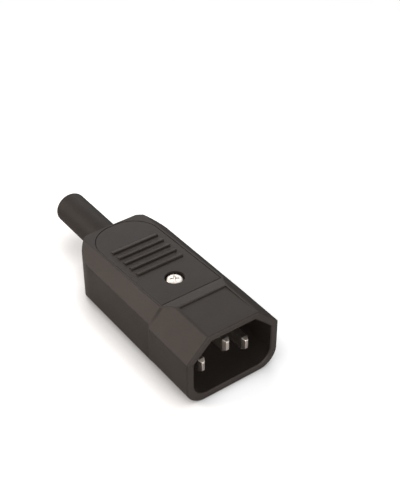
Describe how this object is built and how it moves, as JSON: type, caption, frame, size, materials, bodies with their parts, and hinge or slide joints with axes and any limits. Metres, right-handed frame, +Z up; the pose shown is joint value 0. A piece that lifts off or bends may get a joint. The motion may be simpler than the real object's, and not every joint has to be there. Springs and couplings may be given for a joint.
{
  "type": "three-pin appliance power plug",
  "caption": "Rewireable in-line power plug: blade pins in a bevelled shroud, inset ribbed lid held by a screw, and a soft cord sleeve.",
  "frame": {"origin": "middle of the footprint, on the table", "axes": "+Y from the mating face towards the cord, +Z up out of the ribbed lid; the line pin is at -X and the neutral pin at +X"},
  "size_m": [0.029, 0.0816, 0.0208],
  "materials": {
    "black_shell_plastic": "fine satin moulded thermoplastic, black",
    "insert_plastic": "plain moulded thermoplastic, dark grey",
    "boot_rubber": "soft moulded, black, slightly dull",
    "plated_brass": "nickel-plated, satin",
    "plated_steel": "bright zinc-plated"
  },
  "bodies": {
    "root": {"body_shell": "black_shell_plastic", "top_cover": "black_shell_plastic", "contact_block": "insert_plastic", "line_pin": "plated_brass", "neutral_pin": "plated_brass", "earth_pin": "plated_brass", "line_terminal_screw": "plated_steel", "neutral_terminal_screw": "plated_steel", "earth_terminal_screw": "plated_steel", "line_wire_washer": "plated_steel", "neutral_wire_washer": "plated_steel", "earth_wire_washer": "plated_steel", "cord_clamp": "insert_plastic", "clamp_screw_left": "plated_steel", "clamp_screw_right": "plated_steel", "cable_boot": "boot_rubber", "assembly_screw": "plated_steel", "assembly_nut": "plated_steel"}
  },
  "joints": []
}
